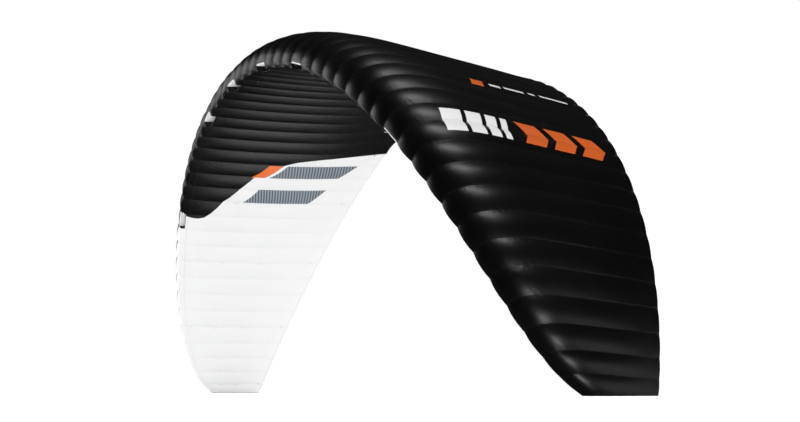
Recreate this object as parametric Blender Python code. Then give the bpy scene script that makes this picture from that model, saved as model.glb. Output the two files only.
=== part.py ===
"""A ram-air foil kite, inflated and standing on its two tips.

Fifty-one cells lie between fifty-two ribs on an arch. Every rib is a section with a blunt round
nose, a short strip under it and a long, nearly flat lower side. The skins billow between the ribs.
+X runs to the right tip, +Y back to the trailing edge and +Z up. The origin is under the middle of
the kite, at the level of the tips' flat ends.
"""
import math

import bmesh
import bpy
from mathutils import Vector
from mathutils.geometry import tessellate_polygon

# Arch: cells, their width across the front view, and how the wing turns down to its tips
CELLS = 51
CELL_WIDTH = 0.1626
CELL_NARROWING_SHARE = 0.629
CELL_NARROWING_POWER = 8.5
TIP_ANGLE = math.radians(70.5)
ARCH_CUBIC_SHARE = 0.19
ARCH_FIFTH_SHARE = -0.063
TIP_END_ANGLE = math.radians(90)

# Plan: chords and the way the leading edge sweeps back
ROOT_CHORD = 1.412
TIP_CHORD = 0.375
CHORD_POWER = 2.6
SWEEP = 0.505
SWEEP_POWER = 2.31
TIP_RAKE = 0.122
TIP_RAKE_POWER = 9.0
TIP_TWIST = math.radians(0.6)

# Section, in shares of its chord
UPPER_NOSE_SHARE = 0.442
UPPER_MIDDLE_SHARE = 0.151
UPPER_TAIL_SHARE = 0.219
CHIN_DROP_SHARE = 0.022
CHIN_BACK_SHARE = 0.0065
BELLY_SHARE = 0.019
UPPER_ROW_SHARES = (0, 0.010, 0.05, 0.14, 0.32, 0.64, 1)
LOWER_ROW_SHARES = (0, 0.12, 0.42, 0.72, 1)
SLOPE_STEP_SHARE = 0.0001
UPPER_BILLOW_SHARE = 0.09
LOWER_BILLOW_SHARE = 0.055
BILLOW_STEPS = 3

# Cloth and gaps
SKIN = 0.002
RIB = 0.002
GAP = 0.0003

# Load ribs, counted from the two beside the middle cell, carry the lines and part the lower skin
LOAD_RIB_STEP = 4
UPPER_JOINTS = (0, 5, 13, 21, 30, 38, 46, 51)
UPPER_NAMES = ("left_tip", "left_outer", "left_inner", "centre",
               "right_inner", "right_outer", "right_tip")
WHITE_CELLS = 17
STRIP_JOINTS = (0, 11, 40, 51)
TAPE_JOINTS = (0, 17, 34, 51)
THIRD_NAMES = ("left", "centre", "right")

# Intakes, counted in cells from the middle cell, and their one-way valves
INTAKE_OFFSETS = (2, 6, 14)
MOUTH_CORNER = 0.010
LIP_HEIGHT = 0.007
VALVE_LENGTH_SHARE = 0.072
VALVE_CLOTH = 0.001
VALVE_SIDE_GAP = 0.0015

# Cross ports in the ribs
PORT_SIDES = 6
PORT_SHARES = (0.24, 0.50)
PORT_HEIGHT_SHARE = 0.27

# Trailing edge tape
EDGE_TAPE_WIDTH = 0.008

# Line tabs, part of the load ribs, hanging through the seams of the lower skin
TAB_ROW_SHARES = (0.07, 0.30, 0.56, 0.94)
TAB_WIDTH = 0.014
TAB_HEIGHT = 0.015
TAB_EDGE = 0.0035

# Deflation zip under the trailing edge of the middle cell
ZIP_SHARE = 0.90
ZIP_LENGTH_SHARE = 0.80
ZIP_TAPE_WIDTH = 0.022
ZIP_TAPE = 0.0012
COIL_WIDTH = 0.0042
COIL_HEIGHT = 0.0018
STOP_LENGTH = 0.003
SLIDER_LENGTH = 0.011
SLIDER_WALL = 0.0016
PULLER_LENGTH = 0.026
PULLER_WIDTH = 0.006
PULLER_THICKNESS = 0.0012

EDGE_HALF = SKIN + GAP / 2
MIDDLE_CELL = (CELLS - 1) // 2
ZIP_LENGTH = ZIP_LENGTH_SHARE * CELL_WIDTH
BACK = Vector((0, 1, 0))

FINISHES = {
    "black_ripstop": ((0.010, 0.010, 0.011), 0.42, 0.0),
    "white_ripstop": ((0.82, 0.83, 0.84), 0.50, 0.0),
    "rib_cloth": ((0.020, 0.020, 0.022), 0.60, 0.0),
    "grey_tape": ((0.16, 0.165, 0.17), 0.60, 0.0),
    "valve_cloth": ((0.72, 0.73, 0.74), 0.55, 0.0),
    "zip_plastic": ((0.02, 0.02, 0.022), 0.40, 0.0),
    "slider_metal": ((0.30, 0.31, 0.32), 0.35, 1.0),
}


def clear_scene():
    """Start from an empty scene."""
    for item in list(bpy.data.objects):
        bpy.data.objects.remove(item, do_unlink=True)


def finish(name, kind):
    """A piece's own material, in one of the kite's finishes."""
    colour, roughness, metallic = FINISHES[kind]
    material = bpy.data.materials.new(name)
    material.use_nodes = True
    shader = material.node_tree.nodes["Principled BSDF"]
    shader.inputs["Base Color"].default_value = (*colour, 1)
    shader.inputs["Roughness"].default_value = roughness
    shader.inputs["Metallic"].default_value = metallic
    material.diffuse_color = (*colour, 1)
    return material


def add_object(name, points, faces, kind):
    """Put one closed mesh into the scene, with its faces turned outwards."""
    work = bmesh.new()
    corners = [work.verts.new(point) for point in points]
    for face in faces:
        work.faces.new([corners[number] for number in face])
    bmesh.ops.recalc_face_normals(work, faces=work.faces)
    mesh = bpy.data.meshes.new(name)
    work.to_mesh(mesh)
    work.free()
    mesh.materials.append(finish(name, kind))
    item = bpy.data.objects.new(name, mesh)
    bpy.context.collection.objects.link(item)
    return item


def span_share(rib):
    """Place of a rib along the span, from -1 at the left tip to 1 at the right tip."""
    return (2 * rib - CELLS) / CELLS


def arch_angle(share):
    """How far the wing has turned down at a share of the half span."""
    cubic = ARCH_CUBIC_SHARE * (share ** 3 - share)
    fifth = ARCH_FIFTH_SHARE * (share ** 5 - share)
    return TIP_ANGLE * (share + cubic + fifth)


def chord_length(share):
    """Chord at a share of the half span, full in the middle and drawn in at the tips."""
    return TIP_CHORD + (ROOT_CHORD - TIP_CHORD) * (1 - abs(share) ** CHORD_POWER)


def nose_sweep(share):
    """How far the leading edge lies behind the middle of the wing."""
    return SWEEP * abs(share) ** SWEEP_POWER + TIP_RAKE * abs(share) ** TIP_RAKE_POWER


def arch_path():
    """Front view of the ribs: each cell is one straight step of its own width and angle."""
    across, up = [0.0], [0.0]
    for cell in range(CELLS):
        turn = (arch_angle(span_share(cell)) + arch_angle(span_share(cell + 1))) / 2
        narrowing = CELL_NARROWING_SHARE * abs(span_share(cell + 0.5)) ** CELL_NARROWING_POWER
        step = CELL_WIDTH * (1 - narrowing)
        across.append(across[-1] + step * math.cos(turn))
        up.append(up[-1] - step * math.sin(turn))
    return [(x - across[-1] / 2, z + RIB + GAP) for x, z in zip(across, up)]


class Station:
    """One rib's plane: its nose point, its up and across directions, chord and twist."""

    def __init__(self, rib, place, depth_middle):
        share = span_share(rib)
        angle = arch_angle(share)
        if abs(share) == 1:
            angle = math.copysign(TIP_END_ANGLE, share)
        self.nose = Vector((place[0], nose_sweep(share) - depth_middle, place[1]))
        self.up = Vector((math.sin(angle), 0, math.cos(angle)))
        self.across = Vector((math.cos(angle), 0, -math.sin(angle)))
        self.chord = chord_length(share) - EDGE_TAPE_WIDTH - GAP
        self.slope = math.tan(TIP_TWIST * share ** 2)

    def point(self, back, height):
        """World point at a distance behind the nose and a height over the chord line."""
        return self.nose + BACK * back + self.up * (height - back * self.slope)

    def direction(self, back, height):
        """World direction of a direction in the rib's plane."""
        return BACK * back + self.up * height


def make_stations():
    """All the ribs' planes, from the left tip to the right one."""
    deepest = max(nose_sweep(span_share(rib)) + chord_length(span_share(rib))
                  for rib in range(CELLS + 1))
    return [Station(rib, place, deepest / 2) for rib, place in enumerate(arch_path())]


STATIONS = make_stations()


def upper_height(chord, share):
    """Upper side: a root-shaped round nose that runs out in a straight tail."""
    rest = 1 - share
    bend = UPPER_NOSE_SHARE * rest ** 2 + 2 * UPPER_MIDDLE_SHARE * share * rest
    bend += UPPER_TAIL_SHARE * share ** 2
    return chord * math.sqrt(share) * rest * bend + EDGE_HALF * share


def upper_edge(chord, share, depth):
    """Point of the upper side, moved in by a depth, and the direction that faces out there."""
    before = max(share - SLOPE_STEP_SHARE, 0)
    rise = upper_height(chord, share) - upper_height(chord, before)
    run = chord * (share - before)
    size = math.hypot(run, rise)
    out = (-1.0, 0.0) if share == 0 else (-rise / size, run / size)
    back = chord * share - out[0] * depth
    return back, upper_height(chord, share) - out[1] * depth, out


def lower_edge(chord, share, depth):
    """Point of the lower side, moved up by a depth, from the chin to the trailing edge."""
    start = CHIN_BACK_SHARE * chord + SKIN + GAP
    drop = chord * (1 - share) * (CHIN_DROP_SHARE + 4 * BELLY_SHARE * share)
    return start + (chord - start) * share, depth - drop - EDGE_HALF * share


def upper_billow(share):
    """Share of the full billow at a place on the upper side: most behind the nose, none at both ends."""
    return (1 - share) * share ** 0.25 / 0.535


def lower_billow(share):
    """Share of the full billow at a place on the lower side."""
    return (1 - share) * math.sqrt(share) / 0.385


def cell_width(cell):
    """Distance between two ribs, seen from the front."""
    step = STATIONS[cell + 1].nose - STATIONS[cell].nose
    return math.hypot(step.x, step.z)


def billow_height(cell, swell_share, fraction):
    """Height of a cell's billow, a parabola from rib to rib."""
    return swell_share * cell_width(cell) * 4 * fraction * (1 - fraction)


def upper_point(cell, fraction, share, depth):
    """Point of the upper skin between two ribs."""
    near, far = STATIONS[cell], STATIONS[cell + 1]
    back, height, out = upper_edge(near.chord, share, depth)
    far_back, far_height, far_out = upper_edge(far.chord, share, depth)
    place = near.point(back, height).lerp(far.point(far_back, far_height), fraction)
    outward = near.direction(*out).lerp(far.direction(*far_out), fraction).normalized()
    return place + outward * billow_height(cell, UPPER_BILLOW_SHARE, fraction) * upper_billow(share)


def lower_point(cell, fraction, share, depth):
    """Point of the lower skin between two ribs."""
    near, far = STATIONS[cell], STATIONS[cell + 1]
    place = near.point(*lower_edge(near.chord, share, depth))
    place = place.lerp(far.point(*lower_edge(far.chord, share, depth)), fraction)
    down = -near.up.lerp(far.up, fraction).normalized()
    return place + down * billow_height(cell, LOWER_BILLOW_SHARE, fraction) * lower_billow(share)


def split_quad(first, second, third, fourth):
    """Two triangles of a quad."""
    return [(first, second, third), (first, third, fourth)]


def band_end(start, size):
    """Faces that close the end of a band, between its two long sides."""
    last = start + size - 1
    faces = []
    for step in range(size // 2 - 1):
        faces += split_quad(start + step, start + step + 1, last - step - 1, last - step)
    return faces


def loft(rings, banded=True):
    """Points and faces of a solid through rings of equal point counts, with its two ends closed.

    A banded ring runs along one side of a thin wall and back along the other, and both sides are
    split along the same diagonals, so that a twisted wall keeps its thickness.
    """
    points = [point for ring in rings for point in ring]
    size = len(rings[0])
    faces = []
    for number in range(len(rings) - 1):
        start, after = number * size, (number + 1) * size
        for corner in range(size):
            turn = (corner + 1) % size
            quad = (start + corner, start + turn, after + turn, after + corner)
            if banded and corner >= size // 2:
                quad = quad[1:] + quad[:1]
            faces += split_quad(*quad)
    for ring, start in ((rings[0], 0), (rings[-1], len(points) - size)):
        if banded:
            faces += band_end(start, size)
            continue
        for face in tessellate_polygon([ring]):
            faces.append(tuple(start + corner for corner in face))
    return points, faces


def section_ring(point, cell, fraction, rows):
    """A sheet's section between two ribs: its outer side front to back, then its inner side back again."""
    outer = [point(cell, fraction, row, 0) for row in rows]
    inner = [point(cell, fraction, row, SKIN) for row in rows]
    return outer + inner[::-1]


def run_fractions(first, last, room):
    """Cells and fractions of the rings of a run of cells that keeps a room from its end ribs."""
    places = [(cell, step / BILLOW_STEPS) for cell in range(first, last)
              for step in range(BILLOW_STEPS)] + [(last - 1, 1.0)]
    if first > 0:
        places[0] = (first, room / cell_width(first))
    if last < CELLS:
        places[-1] = (last - 1, 1 - room / cell_width(last - 1))
    return places


def make_upper_skins():
    """The upper skin in seven runs of cells, sewn end to end over the ribs."""
    for name, first, last in zip(UPPER_NAMES, UPPER_JOINTS, UPPER_JOINTS[1:]):
        rings = [section_ring(upper_point, cell, fraction, UPPER_ROW_SHARES)
                 for cell, fraction in run_fractions(first, last, GAP / 2)]
        add_object("upper_skin_" + name, *loft(rings), "black_ripstop")


def load_ribs():
    """The ribs that carry lines, counted outwards from the two beside the middle cell."""
    right = range(MIDDLE_CELL + 1, CELLS, LOAD_RIB_STEP)
    return sorted([CELLS - rib for rib in right] + list(right))


def rib_room(rib, place, facing):
    """Depth that keeps both sides of a rib clear of a surface that slants across it.

    place gives a station's point of that surface, and facing is the way it faces there.
    """
    station = STATIONS[rib]
    steepest = 0.0
    for other in (STATIONS[rib - 1], STATIONS[rib + 1]):
        way = place(other) - place(station)
        steepest = max(steepest, -way.dot(facing) / abs(way.dot(station.across)))
    return steepest * RIB / 2


def rib_crown(rib):
    """Top edge of a rib, a gap inside the upper skin, from its nose to its tail."""
    station = STATIONS[rib]
    crown = []
    for share in UPPER_ROW_SHARES:
        facing = station.direction(*upper_edge(station.chord, share, 0)[2])
        room = rib_room(rib, lambda other: other.point(*upper_edge(other.chord, share, SKIN)[:2]),
                        facing)
        crown.append(upper_edge(station.chord, share, SKIN + GAP + room)[:2])
    return crown


def rib_ports(chord):
    """The holes that let air pass from cell to cell, six-sided and round the section's middle."""
    ports = []
    for share in PORT_SHARES:
        top = upper_height(chord, share)
        bottom = lower_edge(chord, share, 0)[1]
        radius = PORT_HEIGHT_SHARE * (top - bottom)
        turns = [2 * math.pi * corner / PORT_SIDES for corner in range(PORT_SIDES)]
        ports.append([(chord * share + radius * math.cos(turn),
                       (top + bottom) / 2 + radius * math.sin(turn)) for turn in turns])
    return ports


def plate_faces(outlines, starts, others):
    """Two sides of a flat plate, as faces over its outline and holes, and the walls of its holes.

    starts and others hold the point numbers of each outline on the one side and on the other.
    """
    flat = [[Vector((*place, 0)) for place in outline] for outline in outlines]
    near = [number for numbers in starts for number in numbers]
    far = [number for numbers in others for number in numbers]
    caps = tessellate_polygon(flat)
    faces = [tuple(near[corner] for corner in face) for face in caps]
    faces += [tuple(far[corner] for corner in face) for face in caps]
    for one, two in zip(starts[1:], others[1:]):
        faces += wall(one, two, closed=True)
    return faces


def wall(one, two, closed):
    """Faces between two equal chains of point numbers."""
    pairs = list(zip(one, two))
    ahead = pairs[1:] + pairs[:1] if closed else pairs[1:]
    faces = []
    for (near, far), (near_next, far_next) in zip(pairs, ahead):
        faces += split_quad(near, near_next, far_next, far)
    return faces


def lower_section(first, last):
    """Points and faces of the lower skin between two load ribs, with the plain ribs sewn to it.

    Every plain rib grows from the inner side of the skin, between two rings half its thickness
    away from its plane.
    """
    rings, grown = [], []
    width = len(LOWER_ROW_SHARES)
    for cell, fraction in run_fractions(first, last, RIB / 2 + GAP):
        if fraction == 0 and cell > first:
            grown.append((cell, len(rings)))
            before = 1 - RIB / 2 / cell_width(cell - 1)
            rings.append(section_ring(lower_point, cell - 1, before, LOWER_ROW_SHARES))
            fraction = RIB / 2 / cell_width(cell)
        rings.append(section_ring(lower_point, cell, fraction, LOWER_ROW_SHARES))
    points, faces = loft(rings)
    for rib, ring in grown:
        start = ring * 2 * width
        inner = range(start + width, start + 2 * width)
        spared = set(inner) | {number + 2 * width for number in inner}
        faces = [face for face in faces if not spared.issuperset(face)]
        faces += grow_rib(rib, points, list(inner), 2 * width)
    return points, faces


def grow_rib(rib, points, inner, ring_size):
    """Add a plain rib's points, and give its faces: sides, ports and top edge.

    inner holds the numbers of the skin's inner points at the near side of the rib, tail first.
    """
    station = STATIONS[rib]
    foot = [lower_edge(station.chord, share, SKIN) for share in LOWER_ROW_SHARES[::-1]]
    crown = rib_crown(rib)[:-1]
    ports = rib_ports(station.chord)[:1]
    outlines = [foot + crown] + ports
    starts, others = [list(inner)], [[number + ring_size for number in inner]]
    for number, outline in enumerate([crown] + ports):
        sides = []
        for shift in (-RIB / 2, RIB / 2):
            sides.append(range(len(points), len(points) + len(outline)))
            points += [station.point(*place) + station.across * shift for place in outline]
        if number == 0:
            starts[0] += sides[0]
            others[0] += sides[1]
        else:
            starts.append(list(sides[0]))
            others.append(list(sides[1]))
    size = len(inner)
    near = starts[0][size - 1:] + starts[0][:1]
    far = others[0][size - 1:] + others[0][:1]
    return plate_faces(outlines, starts, others) + wall(near, far, closed=False)


def make_lower_skins():
    """The lower skin, in a run of cells between load ribs: white towards the tips, black between."""
    joints = [0] + load_ribs() + [CELLS]
    for number, (first, last) in enumerate(zip(joints, joints[1:]), 1):
        black = WHITE_CELLS <= first and last <= CELLS - WHITE_CELLS
        colour = "black_ripstop" if black else "white_ripstop"
        add_object("lower_skin_%02d" % number, *lower_section(first, last), colour)


def tab_outline(chord, share):
    """Edge and eye of a line tab under a rib, its edge from the rear to the front."""
    middle = lower_edge(chord, share, 0)[0]
    front, rear = middle - TAB_WIDTH / 2, middle + TAB_WIDTH / 2
    heads = [lower_line(chord, place) for place in (front, rear)]
    head, foot = min(heads), min(heads) - TAB_HEIGHT
    edge = [(rear, heads[1]), (rear, foot), (front, foot), (front, heads[0])]
    top = head - TAB_EDGE / 2
    eye = [(front + TAB_EDGE, top), (rear - TAB_EDGE, top),
           (rear - TAB_EDGE, foot + TAB_EDGE), (front + TAB_EDGE, foot + TAB_EDGE)]
    return edge, eye


def lower_line(chord, back):
    """Height of the lower skin's outer side at a rib, on the straight runs between its rows."""
    edge = [lower_edge(chord, share, 0) for share in LOWER_ROW_SHARES]
    for (start, height), (end, end_height) in zip(edge, edge[1:]):
        if back <= end:
            return height + (end_height - height) * (back - start) / (end - start)
    return edge[-1][1]


def make_load_ribs():
    """The ribs that carry the lines: their lower edge lies in the seam, and their tabs hang out of it."""
    for number, rib in enumerate(load_ribs(), 1):
        station = STATIONS[rib]
        chord = station.chord
        tabs = [tab_outline(chord, share) for share in TAB_ROW_SHARES]
        lower = [lower_edge(chord, share, 0) for share in LOWER_ROW_SHARES]
        room = rib_room(rib, lambda other: other.point(*lower_edge(other.chord, 0, 0)), -BACK)
        lower[0] = (lower[0][0] + room, lower[0][1])
        outline = rib_crown(rib) + with_tabs(lower, tabs)
        outlines = [outline] + rib_ports(chord) + [eye for _, eye in tabs]
        add_object("load_rib_%02d" % number, *plate(station, outlines, RIB), "rib_cloth")


def with_tabs(lower, tabs):
    """The lower edge from tail to nose, with each tab's corners at its own place."""
    chain = []
    ahead = sorted(tabs, key=lambda tab: tab[0][0])
    for corner in reversed(lower):
        while ahead and ahead[-1][0][0][0] > corner[0]:
            chain += ahead.pop()[0]
        chain.append(corner)
    return chain


def plate(station, outlines, thickness, shift=0.0):
    """A flat plate in a rib's plane; the first outline is its edge and the others are holes in it."""
    points, starts, others = [], [], []
    for side, numbers in ((-1, starts), (1, others)):
        move = station.across * (shift + side * thickness / 2)
        for outline in outlines:
            numbers.append(list(range(len(points), len(points) + len(outline))))
            points += [station.point(*place) + move for place in outline]
    return points, plate_faces(outlines, starts, others) + wall(starts[0], others[0], closed=True)


def make_tip_ribs():
    """The two closed end ribs, flat on the ground under the ends of the skins."""
    for name, rib, side in (("left", 0, -1), ("right", CELLS, 1)):
        station = STATIONS[rib]
        chord = station.chord
        upper = [upper_edge(chord, share, 0)[:2] for share in UPPER_ROW_SHARES]
        lower = [lower_edge(chord, share, 0) for share in LOWER_ROW_SHARES]
        chin = (CHIN_BACK_SHARE * chord, -CHIN_DROP_SHARE * chord)
        outline = upper + lower[::-1] + [chin]
        shape = plate(station, [outline], RIB, side * (GAP + RIB / 2))
        add_object("tip_rib_" + name, *shape, "black_ripstop")


def intake_cells():
    """The cells that take in air, a pair for each offset from the middle cell."""
    return sorted(MIDDLE_CELL + side * offset for offset in INTAKE_OFFSETS for side in (-1, 1))


def strip_ring(cell, fraction, mouth):
    """Section of the strip under the nose: full from nose to chin, or its lower lip in a mouth."""
    corners = []
    for station in STATIONS[cell:cell + 2]:
        drop = CHIN_DROP_SHARE * station.chord
        back = CHIN_BACK_SHARE * station.chord
        top = drop - LIP_HEIGHT if mouth else GAP
        section = [(back * top / drop, -top), (back, -drop),
                   (back + SKIN, -drop), (back * top / drop + SKIN, -top)]
        corners.append([station.point(*corner) for corner in section])
    return [near.lerp(far, fraction) for near, far in zip(*corners)]


def make_nose_strips():
    """The strip under the nose, open in a mouth at each intake."""
    colours = ("white_ripstop", "black_ripstop", "white_ripstop")
    joints = zip(THIRD_NAMES, STRIP_JOINTS, STRIP_JOINTS[1:], colours)
    for name, first, last, colour in joints:
        rings = []
        for cell in range(first, last):
            start = GAP / 2 / cell_width(cell) if cell == first > 0 else 0
            rings.append(strip_ring(cell, start, False))
            if cell in intake_cells():
                corner = MOUTH_CORNER / cell_width(cell)
                rings.append(strip_ring(cell, corner, True))
                rings.append(strip_ring(cell, 1 - corner, True))
        end = GAP / 2 / cell_width(last - 1) if last < CELLS else 0
        rings.append(strip_ring(last - 1, 1 - end, False))
        add_object("nose_strip_" + name, *loft(rings), colour)


def make_edge_tapes():
    """The tape that binds both skins along the trailing edge, in three lengths."""
    for name, first, last in zip(THIRD_NAMES, TAPE_JOINTS, TAPE_JOINTS[1:]):
        rings = []
        for rib in range(first, last + 1):
            station = STATIONS[rib]
            shift = ((rib == first > 0) - (rib == last < CELLS)) * GAP / 2
            start = station.chord + GAP
            end = start + EDGE_TAPE_WIDTH
            corners = [(start, -EDGE_HALF), (end, -EDGE_HALF), (end, EDGE_HALF), (start, EDGE_HALF)]
            rings.append([station.point(*corner) + station.across * shift for corner in corners])
        add_object("trailing_edge_tape_" + name, *loft(rings), "grey_tape")


def make_valves():
    """One-way valves: a flap of cloth under the nose of each intake, open, hinged on its front edge."""
    for number, cell in enumerate(intake_cells(), 1):
        left = STATIONS[cell].point(0, -GAP)
        right = STATIONS[cell + 1].point(0, -GAP)
        along = (right - left).normalized()
        down = BACK.cross(along).normalized()
        inset = (RIB / 2 + VALVE_SIDE_GAP) / along.cross(BACK).length
        length = VALVE_LENGTH_SHARE * (STATIONS[cell].chord + STATIONS[cell + 1].chord) / 2
        hinge = left.lerp(right, 0.5)
        rings = []
        for end in (left + along * inset - hinge, right - along * inset - hinge):
            rings.append([end, end + BACK * length, end + BACK * length + down * VALVE_CLOTH,
                          end + down * VALVE_CLOTH])
        flap = add_object("intake_valve_%d" % number, *loft(rings), "valve_cloth")
        flap.location = hinge


def zip_frame():
    """Middle of the deflation zip, right under the cloth, with its back and down directions."""
    rows = LOWER_ROW_SHARES[-2:]
    step = BILLOW_STEPS // 2 / BILLOW_STEPS
    front, rear = (lower_point(MIDDLE_CELL, step, share, 0) for share in rows)
    front.x = rear.x = 0
    back = (rear - front).normalized()
    place = front.lerp(rear, (ZIP_SHARE - rows[0]) / (rows[1] - rows[0]))
    return place, back, back.cross(Vector((1, 0, 0)))


def zip_solid(name, outline, start, end, kind):
    """A solid of one outline, in distances back and down from the zip's middle, run along X."""
    place, back, down = zip_frame()
    rings = []
    for across in (start, end):
        rings.append([place + Vector((across, 0, 0)) + back * behind + down * below
                      for behind, below in outline])
    add_object(name, *loft(rings, banded=False), kind)


def box_outline(width, top, height):
    """A rectangle across the zip, from a depth under the cloth."""
    half = width / 2
    return [(-half, top), (half, top), (half, top + height), (-half, top + height)]


def make_zip():
    """Deflation zip: its tape, coil and stops, and the slider with its puller at the closed end."""
    half = ZIP_LENGTH / 2
    tape_foot = GAP + ZIP_TAPE
    coil_foot = tape_foot + COIL_HEIGHT
    coil_half = COIL_WIDTH / 2
    tape_half = ZIP_TAPE_WIDTH / 2
    tape = [(-tape_half, GAP), (tape_half, GAP), (tape_half, tape_foot), (coil_half, tape_foot),
            (coil_half, coil_foot), (-coil_half, coil_foot), (-coil_half, tape_foot),
            (-tape_half, tape_foot)]
    zip_solid("zip_tape", tape, -half, half, "zip_plastic")
    start = half - STOP_LENGTH - GAP - SLIDER_LENGTH
    slot = coil_half + GAP
    outer = slot + SLIDER_WALL
    roof = coil_foot + GAP
    slider = [(-outer, tape_foot + GAP), (-slot, tape_foot + GAP), (-slot, roof), (slot, roof),
              (slot, tape_foot + GAP), (outer, tape_foot + GAP), (outer, roof + SLIDER_WALL),
              (-outer, roof + SLIDER_WALL)]
    zip_solid("zip_slider", slider, start, start + SLIDER_LENGTH, "slider_metal")
    puller = box_outline(PULLER_WIDTH, roof + SLIDER_WALL + GAP, PULLER_THICKNESS)
    zip_solid("zip_puller", puller, start - PULLER_LENGTH + SLIDER_LENGTH, start + SLIDER_LENGTH,
              "slider_metal")


def make_kite():
    """Build the whole kite."""
    clear_scene()
    make_upper_skins()
    make_lower_skins()
    make_load_ribs()
    make_tip_ribs()
    make_nose_strips()
    make_edge_tapes()
    make_valves()
    make_zip()


make_kite()
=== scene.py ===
import math

import bpy
import numpy as np
from mathutils import Matrix


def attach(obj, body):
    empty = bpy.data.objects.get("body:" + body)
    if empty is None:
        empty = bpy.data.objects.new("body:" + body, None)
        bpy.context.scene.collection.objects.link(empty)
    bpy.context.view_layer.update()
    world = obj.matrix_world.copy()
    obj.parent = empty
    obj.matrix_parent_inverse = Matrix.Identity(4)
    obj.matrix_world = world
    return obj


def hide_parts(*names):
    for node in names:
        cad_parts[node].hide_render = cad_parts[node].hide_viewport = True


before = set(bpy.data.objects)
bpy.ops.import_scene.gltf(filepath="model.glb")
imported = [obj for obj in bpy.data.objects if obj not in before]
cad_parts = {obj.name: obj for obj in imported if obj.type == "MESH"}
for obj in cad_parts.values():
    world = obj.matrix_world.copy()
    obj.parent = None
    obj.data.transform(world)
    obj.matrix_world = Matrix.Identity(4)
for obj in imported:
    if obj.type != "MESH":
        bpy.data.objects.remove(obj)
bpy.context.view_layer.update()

# The wing's plan, arch and section and its small parts, the same values as the solids have, in metres
CELLS = 51
CELL_WIDTH = 0.1626
CELL_NARROWING_SHARE = 0.629
CELL_NARROWING_POWER = 8.5
TIP_ANGLE = math.radians(70.5)
ARCH_CUBIC_SHARE = 0.19
ARCH_FIFTH_SHARE = -0.063
ROOT_CHORD = 1.412
TIP_CHORD = 0.375
CHORD_POWER = 2.6
SWEEP = 0.505
SWEEP_POWER = 2.31
TIP_RAKE = 0.122
TIP_RAKE_POWER = 9.0
TIP_TWIST = math.radians(0.6)
UPPER_NOSE_SHARE = 0.442
UPPER_MIDDLE_SHARE = 0.151
UPPER_TAIL_SHARE = 0.219
CHIN_DROP_SHARE = 0.022
CHIN_BACK_SHARE = 0.0065
BELLY_SHARE = 0.019
SLOPE_STEP_SHARE = 0.0001
UPPER_BILLOW_SHARE = 0.09
LOWER_BILLOW_SHARE = 0.055
TAIL_START_SHARE = 0.72
SKIN = 0.002
RIB = 0.002
GAP = 0.0003
EDGE_HALF = SKIN + GAP / 2
EDGE_TAPE_WIDTH = 0.008
MIDDLE_CELL = 25
LOAD_RIBS = np.array([1, 5, 9, 13, 17, 21, 25, 26, 30, 34, 38, 42, 46, 50])
INTAKES = np.array([11, 19, 23, 27, 31, 39])
VALVE_LENGTH_SHARE = 0.072
VALVE_CLOTH = 0.001
VALVE_SIDE_GAP = 0.0015
PORT_SHARES = (0.24, 0.50)
PORT_HEIGHT_SHARE = 0.27
TAB_ROW_SHARES = (0.07, 0.30, 0.56, 0.94)
TAB_WIDTH = 0.014
TAB_HEIGHT = 0.015
ZIP_SHARE = 0.90
ZIP_LENGTH = 0.80 * CELL_WIDTH
ZIP_TAPE_WIDTH = 0.022
ZIP_TAPE = 0.0012
COIL_WIDTH = 0.0042
COIL_HEIGHT = 0.0018
STOP_LENGTH = 0.003
SLIDER_LENGTH = 0.011
SLIDER_WALL = 0.0016
PULLER_LENGTH = 0.026
PULLER_WIDTH = 0.006
PULLER_THICKNESS = 0.0012

# Finer forms of the cloth and its fittings, which only the scene has
UPPER_PROFILE_PEAK = 0.535
LOWER_PROFILE_PEAK = 0.385
NOSE_ROUND_SHARE = 0.02
TAIL_SCALLOP_SHARE = 0.045
VALVE_ROOT_SHARE = 0.0002
MOUTH_REACH_SHARE = 0.022
MOUTH_BLEND_SHARE = 1 / 6
CHIN_SEAM_SHARE = 0.035
STRIP_BULGE = 1.6
HEM_HALF_SIZE = (0.0018, 0.0014)
BAND_HALF_SIZE = (0.0026, 0.0006)
BAND_SIDES = 8
FLAP_LIFT = 0.0035
FLAP_ARCH = 0.0022
FLAP_CORNER = 0.006
RIB_AREA_SHARE = 0.084
RIB_HEIGHT_SHARE = 0.125
TOOTH_PITCH = 0.0014
TOOTH_LEAN = 0.0004
TOOTH_FILL = 0.8
STOP_FILL = 0.95
TAB_INSET = 0.0008
PULLER_EDGE = 0.0006
PULLER_HOLE_SHARE = 0.26
PULLER_WAIST = 0.22
PULLER_WAIST_PLACE = 0.15
PULLER_CORNER_POWER = 0.45

# Border of the white wing ends on the lower skin: share of the chord, and cells from the tip
BORDER_SHARES = np.array([0, 0.021, 0.045, 0.075, 0.100, 0.120, 0.142, 0.160, 0.180, 0.200, 0.217,
                          0.240, 0.254, 0.314, 0.368, 0.399, 0.489, 0.543, 0.67, 0.813, 1])
BORDER_CELLS = np.array([12.08, 11.84, 11.74, 11.73, 11.72, 11.76, 11.90, 12.06, 12.36, 12.62, 12.98,
                         13.25, 13.36, 14.31, 15.25, 15.38, 16, 16.26, 16.51, 16.71, 17])
BORDER_BULGE = 0.10
STRIP_WHITE_CELLS = 11

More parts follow.
